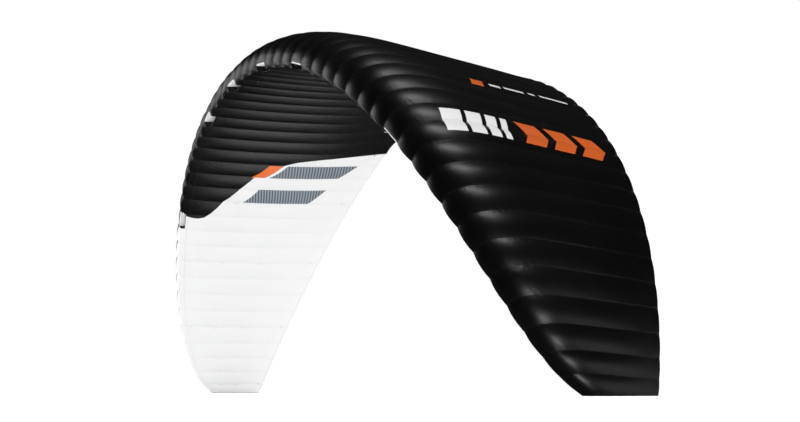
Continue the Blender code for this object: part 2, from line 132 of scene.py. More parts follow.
# Finishes: colours, heights of cloth detail, and the place and half width of a stitched row
BLACK = (0.0010, 0.0010, 0.0011, 1)
DARK_THREAD = (0.02, 0.02, 0.022, 1)
WHITE = (0.92, 0.922, 0.925, 1)
PALE_THREAD = (0.60, 0.61, 0.62, 1)
ORANGE = (0.50, 0.080, 0.003, 1)
# The orange under the wing is the top's orange ink written almost twice as bright: painted light against
# the shade under the arch
ORANGE_PAINTED_LIGHT_UNDERNEATH = (0.92, 0.155, 0.003, 1)
INK_WHITE = (0.60, 0.60, 0.60, 1)
HATCH_DARK = (0.075, 0.092, 0.115, 1)
HATCH_PALE = (0.30, 0.35, 0.40, 1)
WEAVE_HEIGHT = 0.000008
GRID_HEIGHT = 0.00007
PUCKER_HEIGHT = 0.0022
CRUMPLE_HEIGHT = 0.0005
PLAIN_CRUMPLE_HEIGHT = 0.0006
STITCH_HEIGHT = 0.0003
FOLD_HEIGHT = 0.0012
TWILL_HEIGHT = 0.00004
TWILL_PITCH = 0.0011
GRAIN_HEIGHT = 0.00002
SQUARE_EDGE = (0.43, 0.48)
STITCH_AWAY = 0.0045
STITCH_HALF = 0.0005
STITCH_FILL = 0.72
TAPE_STITCH = 0.0034
TAPE_STITCH_FILL = 0.7
PUCKER_REACH = 0.05
FOLD_REACH_SHARE = 0.0025

# Prints: bars and arrows share one band of ribs; a dash is two chord shares and its lower rib place
PRINT_BAND = (39.45, 40.65)
WHITE_BARS = ((0.165, 0.255), (0.275, 0.345), (0.365, 0.415), (0.435, 0.465))
WHITE_LEAN = -0.014
ARROW_STARTS = (0.555, 0.695, 0.835)
ARROW_LENGTH = 0.1
ARROW_POINT = -0.042
DASHES = ((0.56, 0.61, 36.46), (0.63, 0.72, 36.38), (0.745, 0.775, 36.30), (0.80, 0.93, 36.24))
DASH_WIDTH = 0.18
SMALL_TILE = (0.475, 0.53, 36.36, 36.84, -0.006, 0)
HATCHED_BANDS = ((0.47, 0.86, 14.95, 15.95, 0.035, 0), (0.37, 0.76, 13.05, 14.05, 0.035, 0))
LOWER_TILE = (0.37, 0.445, 14.95, 15.95, 0.035, 0)
HATCH_LINES = 62.0
HATCH_SLANT = 1.6

# Light: the world's even light, and how bright room and floor are in the cloth's gloss
EVEN_LIGHT = 1.5
DARK_ROOM = 0.02
DARK_FLOOR = 0.055
FLOOR_FILL = 0.22
FLOOR_HALF = 60.0

# Lamps: name, place, target, size and power
LAMPS = (("overhead", (1.9, 0.1, 6.5), (2.3, -0.4, 1.2), (2.6, 1.4), 55),
         ("right_side", (8.9, -0.4, 2.2), (2.9, -0.2, 0.3), (2.2, 2.2), 110),
         ("right_back", (7.2, 5.0, 2.4), (3.0, 0.0, 0.3), (4.0, 2.6), 28),
         ("left_front", (-5.0, -3.0, 2.6), (0.0, -0.6, 1.8), (2.8, 3.4), 35),
         ("below", (-1.7, 0.3, 0.02), (-1.7, 0.35, 1.5), (1.1, 1.1), 5.7))

# Camera of the photograph
LENS = 77.29
CAMERA_PLACE = (9.7047, -3.3878, 0.0318)
CAMERA_WAY = (-0.9306, 0.3513, 0.1029)

BACK = np.array([0.0, 1.0, 0.0])


# ---------------------------------------------------------------- the wing's shape

def span_share(rib):
    """Place along the span, from -1 at the left tip to 1 at the right tip."""
    return (2 * rib - CELLS) / CELLS


def rib_planes():
    """Nose, up and across direction, chord and twist of every rib.

    The front view is a chain of straight cell steps, each turned by the mean angle of its two ribs;
    the angle is the tip angle times a fifth-order odd polynomial of the span share, and the nose
    falls back by two powers of the span share.
    """
    share = span_share(np.arange(CELLS + 1))
    bend = ARCH_CUBIC_SHARE * (share ** 3 - share) + ARCH_FIFTH_SHARE * (share ** 5 - share)
    angle = TIP_ANGLE * (share + bend)
    turn = (angle[:-1] + angle[1:]) / 2
    middle = abs(span_share(np.arange(CELLS) + 0.5))
    step = CELL_WIDTH * (1 - CELL_NARROWING_SHARE * middle ** CELL_NARROWING_POWER)
    across = np.append(0, np.cumsum(step * np.cos(turn)))
    up = np.append(0, -np.cumsum(step * np.sin(turn)))
    angle[[0, -1]] = -math.pi / 2, math.pi / 2
    chord = TIP_CHORD + (ROOT_CHORD - TIP_CHORD) * (1 - abs(share) ** CHORD_POWER)
    sweep = SWEEP * abs(share) ** SWEEP_POWER + TIP_RAKE * abs(share) ** TIP_RAKE_POWER
    depth = (sweep + chord).max()
    nose = np.stack([across - across[-1] / 2, sweep - depth / 2, up + RIB + GAP], axis=-1)
    none = np.zeros_like(angle)
    ups = np.stack([np.sin(angle), none, np.cos(angle)], axis=-1)
    sides = np.stack([np.cos(angle), none, -np.sin(angle)], axis=-1)
    slope = np.tan(TIP_TWIST * share ** 2)
    return nose, ups, sides, chord - EDGE_TAPE_WIDTH - GAP, slope


NOSE, UP, ACROSS, CHORD, SLOPE = rib_planes()
CELL_STEP = np.hypot(np.diff(NOSE[:, 0]), np.diff(NOSE[:, 2]))


def unit(way):
    """Directions of length one."""
    return way / np.linalg.norm(way, axis=-1, keepdims=True)


def blend(near, far, part):
    """Near plus a part of the way to far."""
    return near + (far - near) * part[..., None]


def plane_point(rib, back, height):
    """A rib's nose, moved back and then up by the height less the twist's fall."""
    rise = height - back * SLOPE[rib]
    return NOSE[rib] + back[..., None] * BACK + rise[..., None] * UP[rib]


def upper_height(chord, share):
    """Root of the share times the rest of the chord times a quadratic of both, plus the edge."""
    rest = 1 - share
    bend = UPPER_NOSE_SHARE * rest ** 2 + 2 * UPPER_MIDDLE_SHARE * share * rest
    bend = bend + UPPER_TAIL_SHARE * share ** 2
    return chord * np.sqrt(share) * rest * bend + EDGE_HALF * share


def upper_edge(chord, share, depth):
    """Upper side of a section moved in by a depth, and the two parts of its outward direction."""
    before = np.maximum(share - SLOPE_STEP_SHARE, 0)
    rise = upper_height(chord, share) - upper_height(chord, before)
    run = chord * (share - before)
    size = np.maximum(np.hypot(run, rise), 1e-12)
    out_back = np.where(share == 0, -1.0, -rise / size)
    out_up = np.where(share == 0, 0.0, run / size)
    height = upper_height(chord, share) - out_up * depth
    return chord * share - out_back * depth, height, out_back, out_up


def lower_edge(chord, share, depth):
    """Lower side of a section: the chin's drop and a parabola of belly, straight near the tail."""
    start = CHIN_BACK_SHARE * chord + SKIN + GAP
    part = np.clip((share - TAIL_START_SHARE) / (1 - TAIL_START_SHARE), 0, 1)
    bent = np.minimum(share, TAIL_START_SHARE)
    drop = chord * (1 - bent) * (CHIN_DROP_SHARE + 4 * BELLY_SHARE * bent) + EDGE_HALF * bent
    drop = drop + (EDGE_HALF - drop) * part
    return start + (chord - start) * share, depth - drop


def arch(cell, part):
    """A parabola from rib to rib, as high in the middle as the cell is wide."""
    return CELL_STEP[cell] * 4 * part * (1 - part)


def upper_profile(share, cell):
    """Billow along the upper chord: full behind the nose and none at the trailing edge.

    The nose is a little full at the crease too, but an intake cell is drawn flat there.
    """
    fullness = np.where(np.isin(cell, INTAKES), 0.0, NOSE_ROUND_SHARE)
    return (1 - share) * (share + fullness) ** 0.25 / UPPER_PROFILE_PEAK


def lower_profile(share):
    """Billow along the lower chord, falling in a straight line over the tail."""
    bent = np.minimum(share, TAIL_START_SHARE)
    full = (1 - bent) * np.sqrt(bent) / LOWER_PROFILE_PEAK
    return full * np.clip((1 - share) / (1 - TAIL_START_SHARE), 0, 1)


def scallop(share):
    """Rise of the arched trailing edge along the chord: a square that starts at the zip."""
    return TAIL_SCALLOP_SHARE * np.clip((share - ZIP_SHARE) / (1 - ZIP_SHARE), 0, 1) ** 2


def split_place(place):
    """Cell of a rib place and the part of that cell."""
    cell = np.minimum(place.astype(int), CELLS - 1)
    return cell, place - cell


def between_ribs(values, cell, part):
    """A rib value between two ribs."""
    return values[cell] + (values[cell + 1] - values[cell]) * part


def upper_cloth(place, share, depth):
    """Upper skin: straight from section to section, plus the cell's billow along the outward way."""
    cell, part = split_place(place)
    near, far = [], []
    for rib, store in ((cell, near), (cell + 1, far)):
        back, height, out_back, out_up = upper_edge(CHORD[rib], share, depth)
        store.append(plane_point(rib, back, height))
        store.append(out_back[..., None] * BACK + out_up[..., None] * UP[rib])
    out = unit(blend(near[1], far[1], part))
    rise = arch(cell, part) * (UPPER_BILLOW_SHARE * upper_profile(share, cell) + scallop(share))
    return blend(near[0], far[0], part) + out * rise[..., None]


def lower_cloth(place, share, depth):
    """Lower skin: straight from section to section, plus the cell's billow downwards."""
    cell, part = split_place(place)
    ends = [plane_point(rib, *lower_edge(CHORD[rib], share, depth)) for rib in (cell, cell + 1)]
    down = -unit(blend(UP[cell], UP[cell + 1], part))
    fall = arch(cell, part) * (LOWER_BILLOW_SHARE * lower_profile(share) - scallop(share))
    return blend(*ends, part) + down * fall[..., None]


def white_reach(place, share):
    """Cells by which the white end reaches past a place; below zero the cloth is black."""
    from_tip = np.minimum(place, CELLS - place)
    bulge = BORDER_BULGE * np.sin(math.pi * (from_tip % 1))
    return np.interp(share, BORDER_SHARES, BORDER_CELLS) + bulge - from_tip


# ---------------------------------------------------------------- meshes from grids

def grid_quads(rows, columns, first=0, wrap=False):
    """Quads of a grid of points that starts at a point number, closed across its columns or not."""
    down = np.arange(rows - 1)[:, None]
    side = np.arange(columns if wrap else columns - 1)[None, :]
    ahead = (side + 1) % columns
    corners = (down * columns + side, down * columns + ahead,
               (down + 1) * columns + ahead, (down + 1) * columns + side)
    return first + np.stack([c.ravel() for c in np.broadcast_arrays(*corners)], axis=-1)


def shell_quads(rows, columns):
    """Quads of two like grids, one behind the other, joined along their four edges."""
    count = rows * columns
    top = np.arange(columns)
    side = np.arange(rows) * columns
    loop = np.concatenate([top[:-1], (side + columns - 1)[:-1], (top[::-1] + count - columns)[:-1],
                           side[::-1][:-1]])
    ahead = np.roll(loop, -1)
    return np.concatenate([grid_quads(rows, columns), grid_quads(rows, columns, count)[:, ::-1],
                           np.stack([loop + count, ahead + count, ahead, loop], axis=-1)])


def pierced_quads(rows, columns):
    """Quads of two like sets of rings, one behind the other, joined along the first and last ring."""
    count = rows * columns
    walls = []
    for ring in (np.arange(columns), np.arange(columns) + count - columns):
        ahead = np.roll(ring, -1)
        walls.append(np.stack([ring, ahead, ahead + count, ring + count], axis=-1))
    return np.concatenate([grid_quads(rows, columns, wrap=True),
                           grid_quads(rows, columns, count, wrap=True)[:, ::-1],
                           walls[0], walls[1][:, ::-1]])


def rod_quads(rows, columns):
    """Quads of rings in a row, the end rings closed by strips from side to side."""
    step = np.arange(columns // 2 - 1)
    cap = np.stack([step, step + 1, columns - 2 - step, columns - 1 - step], axis=-1)
    return np.concatenate([grid_quads(rows, columns, wrap=True), cap[:, ::-1],
                           cap + (rows - 1) * columns])


def fill_mesh(name, points, quads):
    """A mesh of quads, turned so that its volume counts as positive."""
    points = np.asarray(points, dtype=np.float64).reshape(-1, 3)
    corner = points[quads]
    first = np.einsum("ij,ij->i", corner[:, 0], np.cross(corner[:, 1], corner[:, 2]))
    second = np.einsum("ij,ij->i", corner[:, 0], np.cross(corner[:, 2], corner[:, 3]))
    if (first + second).sum() < 0:
        quads = quads[:, ::-1]
    mesh = bpy.data.meshes.new(name)
    mesh.vertices.add(len(points))
    mesh.vertices.foreach_set("co", points.astype(np.float32).ravel())
    mesh.loops.add(quads.size)
    mesh.loops.foreach_set("vertex_index", quads.astype(np.int32).ravel())
    mesh.polygons.add(len(quads))
    mesh.polygons.foreach_set("loop_start", np.arange(0, quads.size, 4, dtype=np.int32))
    mesh.update(calc_edges=True)
    mesh.polygons.foreach_set("use_smooth", np.ones(len(quads), dtype=bool))
    mesh.set_sharp_from_angle(angle=math.radians(38))
    return mesh


def on_both_sides(mesh, values):
    """A row of values for each point; those of a shell's outer side go on its inner side too."""
    values = values.reshape(-1, values.shape[-1])
    return np.tile(values, (len(mesh.vertices) // len(values), 1)).astype(np.float32)


def point_map(mesh, name, values):
    """A UV map whose value at each corner is that of its point."""
    numbers = np.empty(len(mesh.loops), dtype=np.int32)
    mesh.loops.foreach_get("vertex_index", numbers)
    layer = mesh.uv_layers.new(name=name)
    layer.data.foreach_set("uv", on_both_sides(mesh, values)[numbers].ravel())


def point_value(mesh, name, values):
    """A number on each point."""
    attribute = mesh.attributes.new(name, "FLOAT", "POINT")
    attribute.data.foreach_set("value", on_both_sides(mesh, values[..., None]).ravel())


def sharpen_columns(mesh, column):
    """Sharp edges along the columns that carry a number above zero; the others are left as they are."""
    ends = np.empty(2 * len(mesh.edges), dtype=np.int32)
    mesh.edges.foreach_get("vertices", ends)
    ends = ends.reshape(-1, 2)
    same = (column[ends[:, 0]] == column[ends[:, 1]]) & (column[ends[:, 0]] > 0)
    layer = mesh.attributes.get("sharp_edge") or mesh.attributes.new("sharp_edge", "BOOLEAN", "EDGE")
    kept = np.empty(len(mesh.edges), dtype=bool)
    layer.data.foreach_get("value", kept)
    layer.data.foreach_set("value", kept | same)


def add_piece(mesh, material, body, nodes=()):
    """Put a finished mesh into the scene on its body, in place of the solids it stands for."""
    mesh.materials.append(material)
    piece = bpy.data.objects.new(mesh.name, mesh)
    bpy.context.collection.objects.link(piece)
    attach(piece, body)
    if nodes:
        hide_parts(*nodes)
    return piece


def surface_area(points):
    """Area of a grid of points, as the sum of its quads' two triangles."""
    a, b = points[1:, :-1] - points[:-1, :-1], points[:-1, 1:] - points[:-1, :-1]
    c, d = points[1:, :-1] - points[1:, 1:], points[:-1, 1:] - points[1:, 1:]
    both = np.linalg.norm(np.cross(a, b), axis=-1) + np.linalg.norm(np.cross(c, d), axis=-1)
    return float(both.sum() / 2)


def path_length(points, axis):
    """Running length of a grid of points along one of its axes."""
    steps = np.linalg.norm(np.diff(points, axis=axis), axis=-1)
    pad = [(0, 0), (0, 0)]
    pad[axis] = (1, 0)
    return np.pad(np.cumsum(steps, axis=axis), pad)


def cloth_shell(name, surface, place, share, seam_each):
    """A sheet two millimetres thick over a grid of rib places and chord shares.

    It carries the map place, of rib place and share, and the map metres, of running lengths.
    """
    outer, inner = surface(place, share, 0.0), surface(place, share, SKIN)
    rows, columns = place.shape
    mesh = fill_mesh(name, np.concatenate([outer, inner]), shell_quads(rows, columns))
    run = path_length(outer, 1)
    span = np.broadcast_to(path_length(outer, 0)[:, columns // 3][:, None], run.shape)
    point_map(mesh, "place", np.stack([place, share], axis=-1))
    point_map(mesh, "metres", np.stack([span, run], axis=-1))
    seam = np.where(np.arange(rows) % seam_each == 0, np.arange(rows) + 1, 0)
    sharpen_columns(mesh, np.tile(np.repeat(seam, columns), 2))
    return mesh, outer


def carried(path, side, up, profile):
    """A closed profile of sideways and upward distances, carried along a path of points."""
    offset = side[:, None, :] * profile[None, :, :1] + up[:, None, :] * profile[None, :, 1:]
    points = path[:, None, :] + offset
    return points.reshape(-1, 3), rod_quads(*points.shape[:2])


def gather(parts):
    """Several sets of points and quads as one."""
    points, quads, count = [], [], 0
    for some, faces in parts:
        points.append(some)
        quads.append(faces + count)
        count += len(some)
    return np.concatenate(points), np.concatenate(quads)


def round_profile(half_width, half_height, sides, power=2.0):
    """A rounded outline: cosine and sine drawn towards a rectangle by a power above two."""
    turn = 2 * math.pi * (np.arange(sides) + 0.5) / sides
    wide, high = np.cos(turn), np.sin(turn)
    return np.stack([half_width * np.sign(wide) * abs(wide) ** (2 / power),
                     half_height * np.sign(high) * abs(high) ** (2 / power)], axis=-1)


# ---------------------------------------------------------------- materials

class Signal:
    """What a node gives out; arithmetic on it adds math nodes to the same tree."""

    def __init__(self, wires, socket):
        self.wires, self.socket = wires, socket

    def __add__(self, other):
        return self.wires.math("ADD", self, other)

    def __sub__(self, other):
        return self.wires.math("SUBTRACT", self, other)

    def __rsub__(self, other):
        return self.wires.math("SUBTRACT", other, self)

    def __mul__(self, other):
        return self.wires.math("MULTIPLY", self, other)

    def __truediv__(self, other):
        return self.wires.math("DIVIDE", self, other)

    def __lt__(self, other):
        return self.wires.math("LESS_THAN", self, other)

    def __gt__(self, other):
        return self.wires.math("GREATER_THAN", self, other)

    def __abs__(self):
        return self.wires.math("ABSOLUTE", self)


class Wiring:
    """A node tree with short ways to add nodes and join them."""

    def __init__(self, tree):
        self.tree = tree

    def set(self, socket, value):
        """Join a socket to a signal, or give it a number or colour."""
        if isinstance(value, Signal):
            self.tree.links.new(value.socket, socket)
        else:
            socket.default_value = value

    def node(self, kind, **settings):
        """A node with its settings."""
        made = self.tree.nodes.new(kind)
        for key, value in settings.items():
            setattr(made, key, value)
        return made

    def signals(self, node):
        """What a node gives out, by name."""
        return {socket.name: Signal(self, socket) for socket in node.outputs}

    def math(self, operation, *values):
        """One step of arithmetic."""
        made = self.node("ShaderNodeMath", operation=operation)
        for socket, value in zip(made.inputs, values):
            self.set(socket, value)
        return Signal(self, made.outputs[0])

    def fract(self, value):
        """What is left of a value above its whole number."""
        return self.math("FRACT", value)

    def span(self, value, low, high, to_low=0.0, to_high=1.0, smooth=False):
        """A value taken from one range to another and held there."""
        kind = "SMOOTHSTEP" if smooth else "LINEAR"
        made = self.node("ShaderNodeMapRange", interpolation_type=kind)
        for key, item in (("Value", value), ("From Min", low), ("From Max", high),
                          ("To Min", to_low), ("To Max", to_high)):
            self.set(made.inputs[key], item)
        return Signal(self, made.outputs["Result"])

    def near(self, distance, reach):
        """One at no distance, falling smoothly to zero at the reach."""
        return self.span(distance, 0.0, reach, 1.0, 0.0, smooth=True)

    def colours(self, factor, first, second):
        """One colour where the factor is zero and the other where it is one."""
        made = self.node("ShaderNodeMix", data_type="RGBA")
        for socket, value in ((made.inputs["Factor"], factor), (made.inputs[6], first),
                              (made.inputs[7], second)):
            self.set(socket, value)
        return Signal(self, made.outputs[2])

    def noise(self, vector, scale, detail=2.0, roughness=0.5, stretch=None):
        """Cloudy noise from zero to one, with its pattern stretched or not."""
        if stretch is not None:
            mapping = self.node("ShaderNodeMapping")
            self.set(mapping.inputs["Vector"], vector)
            mapping.inputs["Scale"].default_value = stretch
            vector = Signal(self, mapping.outputs[0])
        made = self.node("ShaderNodeTexNoise")
        for key, item in (("Vector", vector), ("Scale", scale), ("Detail", detail),
                          ("Roughness", roughness)):
            self.set(made.inputs[key], item)
        return Signal(self, made.outputs["Fac"])

    def parts(self, vector):
        """The three parts of a vector."""
        made = self.node("ShaderNodeSeparateXYZ")
        self.set(made.inputs[0], vector)
        return list(self.signals(made).values())

    def object_point(self):
        """The point in object coordinates."""
        return self.signals(self.node("ShaderNodeTexCoord"))["Object"]

    def own_map(self, name):
        """The piece's own map of that name."""
        return self.signals(self.node("ShaderNodeUVMap", uv_map=name))["UV"]

    def attribute(self, name):
        """The piece's own number of that name."""
        return self.signals(self.node("ShaderNodeAttribute", attribute_name=name))["Fac"]

    def place(self, group, **values):
        """A node group with its own values."""
        made = self.node("ShaderNodeGroup", node_tree=GROUPS[group])
        for key, value in values.items():
            self.set(made.inputs[key], value)
        return self.signals(made)

    def give(self, **values):
        """What this tree, as a group, puts out."""
        out = self.node("NodeGroupOutput").inputs
        for key, value in values.items():
            self.set(out[key], value)


def new_group(name, outputs, **inputs):
    """An empty shader node group and what it is given; an input is a number, or None for a vector."""
    group = bpy.data.node_groups.new(name, "ShaderNodeTree")
    for key, value in inputs.items():
        kind = "NodeSocketVector" if value is None else "NodeSocketFloat"
        socket = group.interface.new_socket(key, in_out="INPUT", socket_type=kind)
        if value is not None:
            socket.default_value = value
    for key in outputs:
        group.interface.new_socket(key, in_out="OUTPUT", socket_type="NodeSocketFloat")
    wires = Wiring(group)
    return wires, wires.signals(wires.node("NodeGroupInput"))


def make_ripstop_group():
    """Ripstop weave: a fine over-and-under weave, and a raised square grid of doubled threads."""
    wires, given = new_group("ripstop_weave", ["Height", "Grid"], Metres=None, Thread=0.0008,
                             Square=0.006)
    waves, lines = [], []
    for way in wires.parts(given["Metres"])[:2]:
        waves.append(wires.math("SINE", way / given["Thread"] * (2 * math.pi)))
        middle = abs(wires.fract(way / given["Square"]) - 0.5)
        lines.append(wires.span(middle, *SQUARE_EDGE, smooth=True))
    grid = wires.math("MAXIMUM", *lines)
    wires.give(Height=waves[0] * waves[1] * WEAVE_HEIGHT + grid * GRID_HEIGHT, Grid=grid)
    return wires.tree


def make_seam_group():
    """Rib seams: a row of stitches on both sides of the nearest rib, and puckers across it."""
    wires, given = new_group("rib_seam", ["Stitches", "Pucker"], Place=None, Metres=None, Width=0.16,
                             Stitch=0.0032)
    rib = wires.parts(given["Place"])[0]
    along = wires.parts(given["Metres"])[1]
    away = abs(wires.fract(rib + 0.5) - 0.5) * given["Width"]
    row = abs(away - STITCH_AWAY) < STITCH_HALF
    dash = wires.fract(along / given["Stitch"]) < STITCH_FILL
    pucker = wires.noise(given["Metres"], 1.0, 2.0, 0.55, stretch=(9.0, 46.0, 1.0))
    wires.give(Stitches=row * dash, Pucker=(pucker - 0.5) * wires.near(away, PUCKER_REACH))
    return wires.tree


def make_use_group():
    """Traces of use: broad soft clouds, and fine crumples of packed cloth."""
    wires, given = new_group("soft_use", ["Cloud", "Crumple"], Point=None)
    wires.give(Cloud=wires.noise(given["Point"], 2.2, 4.0, 0.6),
               Crumple=abs(wires.noise(given["Point"], 9.0, 4.0, 0.55) - 0.5))
    return wires.tree


def make_print_group():
    """One printed bar: a band between two ribs and two shares, leaned over, or folded to a point."""
    wires, given = new_group("printed_bar", ["Mask"], Place=None, Start=0.0, End=1.0, Low=0.0,
                             High=1.0, Lean=0.0, Point=0.0)
    across, along, _ = wires.parts(given["Place"])
    middle = (given["Low"] + given["High"]) * 0.5
    high = (across - middle) / ((given["High"] - given["Low"]) * 0.5)
    moved = along - given["Lean"] * high - given["Point"] * abs(high)
    between = (moved > given["Start"]) * (moved < given["End"])
    wires.give(Mask=(abs(high) < 1.0) * between)
    return wires.tree


GROUPS = {"ripstop": make_ripstop_group(), "seam": make_seam_group(), "use": make_use_group(),
          "bar": make_print_group()}


def plain_material(name, roughness, specular, sheen=0.0):
    """A material whose constants are set on the shader, with a wiring and its shader node."""
    material = bpy.data.materials.new(name)
    material.use_nodes = True
    shader = material.node_tree.nodes["Principled BSDF"]
    shader.inputs["Roughness"].default_value = roughness
    shader.inputs["Specular IOR Level"].default_value = specular
    if sheen:
        shader.inputs["Sheen Weight"].default_value = sheen
        shader.inputs["Sheen Roughness"].default_value = 0.5
    return material, Wiring(material.node_tree), shader


def finish(wires, shader, colour, roughness, height):
    """Colour and roughness over the surface, and a height in metres that tilts the normal."""
    wires.set(shader.inputs["Base Color"], colour)
    wires.set(shader.inputs["Roughness"], roughness)
    bump = wires.node("ShaderNodeBump")
    bump.inputs["Distance"].default_value = 1.0
    bump.inputs["Strength"].default_value = 1.0
    wires.set(bump.inputs["Height"], height)
    wires.set(shader.inputs["Normal"], wires.signals(bump)["Normal"])


def bars(wires, rows):
    """Mask of several printed bars together; each row is start, end, low, high, lean and point."""
    place, mask = wires.own_map("place"), None
    for row in rows:
        values = dict(zip(("Start", "End", "Low", "High", "Lean", "Point"), row))
        one = wires.place("bar", Place=place, **values)["Mask"]
        mask = one if mask is None else wires.math("MAXIMUM", mask, one)
    return mask


def finish_cloth(wires, shader, colour, dark, rough_low, rough_high, matt=0.0, flat_seam=None):
    """Weave, seams, puckers and soft traces of use over a colour, as the skins have them.

    Matt is a mask of duller cloth. A flat seam runs along the span at a chord share, if one is given.
    """
    metres, place = wires.own_map("metres"), wires.own_map("place")
    weave = wires.place("ripstop", Metres=metres)
    seam = wires.place("seam", Place=place, Metres=metres)
    used = wires.place("use", Point=wires.object_point())
    colour = wires.colours(seam["Stitches"] * 0.7, colour, dark)
    colour = wires.colours(wires.span(used["Cloud"], 0.35, 0.75, smooth=True) * 0.04, colour, dark)
    rough = wires.span(used["Cloud"], 0.3, 0.7, rough_low, rough_high) + weave["Grid"] * 0.06
    height = weave["Height"] + seam["Pucker"] * PUCKER_HEIGHT + used["Crumple"] * CRUMPLE_HEIGHT
    height = height + seam["Stitches"] * STITCH_HEIGHT
    if flat_seam:
        fold = wires.near(abs(wires.parts(place)[1] - flat_seam), FOLD_REACH_SHARE)
        colour = wires.colours(fold * 0.5, colour, dark)
        height = height + fold * FOLD_HEIGHT
    finish(wires, shader, colour, rough + matt * 0.2, height)


def white_ends(wires, middle=BLACK, ends=WHITE, thread=DARK_THREAD):
    """Where a cloth is white towards the tips, its colour, and the shade of its thread."""
    white = wires.attribute("white_reach") > 0.0
    return white, wires.colours(white, middle, ends), wires.colours(white, thread, PALE_THREAD)


def make_upper_material():
    """Black coated ripstop with a row of white bars and orange arrows near the right tip.

    A thin white line shows at the root of every valve.
    """
    material, wires, shader = plain_material("upper_black_ripstop", 0.4, 0.5)
    white = bars(wires, [(start, end, *PRINT_BAND, WHITE_LEAN, 0) for start, end in WHITE_BARS]
                 + [(start, end, low, low + DASH_WIDTH, 0, 0) for start, end, low in DASHES])
    orange = bars(wires, [(start, start + ARROW_LENGTH, *PRINT_BAND, 0, ARROW_POINT)
                          for start in ARROW_STARTS] + [SMALL_TILE])
    white = wires.math("MAXIMUM", white, wires.attribute("valve_root") > 0.0)
    colour = wires.colours(orange, wires.colours(white, BLACK, INK_WHITE), ORANGE)
    finish_cloth(wires, shader, colour, DARK_THREAD, 0.29, 0.35)
    return material


def make_lower_material():
    """White ripstop at the ends and black between, with hatched bands and an orange bar at the left."""
    material, wires, shader = plain_material("lower_ripstop", 0.45, 0.5)
    white, colour, shade = white_ends(wires)
    across, along, _ = wires.parts(wires.own_map("place"))
    hatch = wires.fract(along * HATCH_LINES + across * HATCH_SLANT) < 0.5
    inks = wires.colours(hatch, HATCH_PALE, HATCH_DARK)
    colour = wires.colours(bars(wires, HATCHED_BANDS), colour, inks)
    # The orange bar underneath is painted brighter than the top's orange, as painted light in the shade
    # under the wing
    colour = wires.colours(bars(wires, [LOWER_TILE]), colour, ORANGE_PAINTED_LIGHT_UNDERNEATH)
    finish_cloth(wires, shader, colour, shade, 0.30, 0.37, white, CHIN_SEAM_SHARE)
    return material


def make_strip_material():
    """Nose strip cloth, white by the tips and black between, with the skins' weave."""
    material, wires, shader = plain_material("nose_strip_ripstop", 0.45, 0.5)
    white, colour, shade = white_ends(wires)
    finish_cloth(wires, shader, colour, shade, 0.30, 0.37, white)
    return material


def make_cloth_material(name, colour, thread, roughness):
    """Plain woven cloth on object coordinates: weave, grid and soft clouds."""
    material, wires, shader = plain_material(name, roughness, 0.3)
    point = wires.object_point()
    x, y, z = wires.parts(point)
    flat = wires.node("ShaderNodeCombineXYZ")
    wires.set(flat.inputs[0], x + z)
    wires.set(flat.inputs[1], y)
    weave = wires.place("ripstop", Metres=wires.signals(flat)["Vector"])
    used = wires.place("use", Point=point)
    colour = wires.colours(weave["Grid"] * 0.25, colour, thread)
    colour = wires.colours(wires.span(used["Cloud"], 0.3, 0.8) * 0.3, colour, thread)
    finish(wires, shader, colour,
           wires.span(used["Cloud"], 0.3, 0.7, roughness - 0.05, roughness + 0.06),
           weave["Height"] + used["Crumple"] * PLAIN_CRUMPLE_HEIGHT)
    return material


def make_tape_material(name, colour, thread, ends=None):
    """Woven tape: slanting ribs of thread and a row of stitches down the middle, on the map metres.

    With a colour for the ends, the tape has it where it is sewn to the white ends.
    """
    material, wires, shader = plain_material(name, 0.6, 0.3, 0.15)
    if ends:
        _, colour, thread = white_ends(wires, colour, ends, thread)
    across, along, _ = wires.parts(wires.own_map("metres"))
    twill = wires.math("SINE", (across + along) * (2 * math.pi / TWILL_PITCH))
    dash = wires.fract(across / TAPE_STITCH) < TAPE_STITCH_FILL
    stitch = dash * (abs(along - STITCH_AWAY) < STITCH_HALF)
    colour = wires.colours(wires.span(twill, -1.0, 1.0, 0.0, 0.35), colour, thread)
    finish(wires, shader, wires.colours(stitch, colour, thread), wires.span(twill, -1.0, 1.0, 0.55, 0.68),
           twill * TWILL_HEIGHT + stitch * STITCH_HEIGHT)
    return material


def make_hard_material(name, colour, metallic, rough_low, rough_high):
    """Moulded or plated hardware: fine grain in its roughness, and paler worn spots."""
    material, wires, shader = plain_material(name, rough_low, 0.5)
    shader.inputs["Metallic"].default_value = metallic
    point = wires.object_point()
    grain = wires.noise(point, 900.0, 3.0, 0.6)
    worn = wires.span(wires.noise(point, 160.0, 3.0, 0.6), 0.55, 0.75)
    pale = tuple(min(1.0, 2.2 * part) for part in colour[:3]) + (1,)
    finish(wires, shader, wires.colours(worn * 0.5, colour, pale),
           wires.span(grain, 0.3, 0.7, rough_low, rough_high), grain * GRAIN_HEIGHT)
    return material


UPPER_CLOTH = make_upper_material()
LOWER_CLOTH = make_lower_material()
STRIP_CLOTH = make_strip_material()
RIB_CLOTH = make_cloth_material("rib_cloth", (0.008, 0.008, 0.009, 1), (0.02, 0.02, 0.021, 1), 0.7)
VALVE_WHITE = make_cloth_material("valve_cloth", (0.93, 0.935, 0.94, 1), (0.70, 0.71, 0.72, 1), 0.55)
TIP_CLOTH = make_cloth_material("tip_rib_cloth", BLACK, DARK_THREAD, 0.45)
EDGE_TAPE = make_tape_material("edge_tape", (0.02, 0.02, 0.022, 1), (0.06, 0.06, 0.065, 1), WHITE)
HEM_TAPE = make_tape_material("hem_tape", (0.015, 0.015, 0.017, 1), (0.05, 0.05, 0.055, 1))
TAB_TAPE = make_tape_material("tab_webbing", (0.02, 0.02, 0.022, 1), (0.06, 0.06, 0.065, 1), WHITE)
ZIP_CLOTH = make_tape_material("zip_tape_weave", (0.018, 0.018, 0.02, 1), (0.05, 0.05, 0.055, 1))
ZIP_PLASTIC = make_hard_material("zip_coil_plastic", (0.02, 0.02, 0.022, 1), 0.0, 0.32, 0.45)
